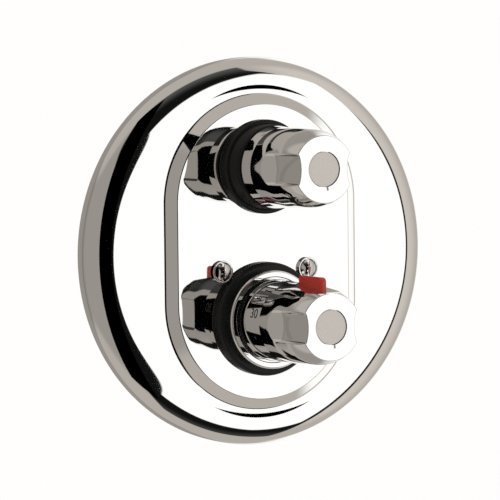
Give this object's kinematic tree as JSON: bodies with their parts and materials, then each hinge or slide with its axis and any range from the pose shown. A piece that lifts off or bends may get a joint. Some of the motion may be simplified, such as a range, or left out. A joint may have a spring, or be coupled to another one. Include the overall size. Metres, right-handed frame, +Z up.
{
  "type": "thermostatic shower valve",
  "caption": "Concealed thermostatic shower valve with a round domed chrome plate, raised oblong platform, flow handle above and temperature handle with safety button below.",
  "frame": {"origin": "centre of the round plate on the plane of the finished wall", "axes": "+Z up, +Y into the wall, so the handles point along -Y, and +X to the user's right"},
  "size_m": [0.22, 0.1505, 0.22],
  "materials": {
    "chrome_trim": "polished",
    "black_rubber": "matt",
    "black_plastic": "satin",
    "white_plastic": "satin",
    "grey_cap": "satin",
    "red_plastic": "gloss",
    "brass": "machined",
    "copper": "machined",
    "ceramic": "polished",
    "steel": "plain"
  },
  "bodies": {
    "wall_assembly": {"escutcheon_plate": "chrome_trim", "plate_screws": "chrome_trim", "screw_cups": "chrome_trim", "lower_collar_ring": "chrome_trim", "wall_gasket": "black_rubber", "upper_seal_ring": "black_rubber", "lower_seal_ring": "black_rubber", "headwork_flange_ring": "black_rubber", "headwork_seat_seal": "black_rubber", "housing_rings": "black_rubber", "stop_ring": "black_plastic", "upper_sleeve": "black_plastic", "lower_sleeve": "black_plastic", "hot_check_guide": "black_plastic", "cold_check_guide": "black_plastic", "hot_check_seat": "black_plastic", "cold_check_seat": "black_plastic", "cartridge_housing": "white_plastic", "valve_body": "brass", "headwork_bonnet": "brass", "cartridge_nut": "brass", "screw_posts": "brass", "fixed_disc": "ceramic", "return_spring": "steel", "hot_check_spring": "steel", "cold_check_spring": "steel", "hot_strainer": "steel", "cold_strainer": "steel"},
    "flow_handle": {"upper_knob": "chrome_trim", "upper_knob_cap": "grey_cap", "upper_knob_screw": "steel", "upper_adapter": "white_plastic", "headwork_spindle": "brass", "headwork_shaft_ring": "black_rubber", "rotating_disc": "ceramic"},
    "temperature_handle": {"lower_knob": "chrome_trim", "lower_knob_cap": "grey_cap", "lower_knob_screw": "steel", "lower_adapter": "white_plastic", "temperature_spindle": "brass", "temperature_shaft_ring": "black_rubber", "button_spring": "steel"},
    "safety_button": {"safety_button": "red_plastic"},
    "thermostat_element": {"setting_nut": "white_plastic", "overload_spring": "steel", "wax_element": "copper", "regulating_spool": "white_plastic"},
    "hot_check_valve": {"hot_check_poppet": "black_plastic"},
    "cold_check_valve": {"cold_check_poppet": "black_plastic"}
  },
  "joints": [
    {"name": "flow_turn", "type": "hinge", "parent": "wall_assembly", "child": "flow_handle", "pos_m": [0, 0, 0.0482], "axis": [0, -1, 0], "range_deg": [0, 90]},
    {"name": "temperature_turn", "type": "hinge", "parent": "wall_assembly", "child": "temperature_handle", "pos_m": [0, 0, -0.0378], "axis": [0, -1, 0], "range_deg": [-150, 95]},
    {"name": "button_press", "type": "slide", "parent": "temperature_handle", "child": "safety_button", "axis": [0, 0, -1], "range_m": [0, 0.0025], "stiffness_N_per_m": 600, "springref_m": -0.002, "deforming": ["button_spring"]},
    {"name": "element_slide", "type": "slide", "parent": "wall_assembly", "child": "thermostat_element", "axis": [0, -1, 0], "range_m": [-0.0018, 0.0012], "deforming": ["return_spring"]},
    {"name": "hot_check_slide", "type": "slide", "parent": "wall_assembly", "child": "hot_check_valve", "axis": [1, 0, 0], "range_m": [0, 0.002], "stiffness_N_per_m": 200, "springref_m": -0.001, "deforming": ["hot_check_spring"]},
    {"name": "cold_check_slide", "type": "slide", "parent": "wall_assembly", "child": "cold_check_valve", "axis": [-1, 0, 0], "range_m": [0, 0.002], "stiffness_N_per_m": 200, "springref_m": -0.001, "deforming": ["cold_check_spring"]}
  ],
  "couplings": [
    {"joint": "element_slide", "follows": "temperature_turn", "m_per_rad": 0.0006}
  ]
}
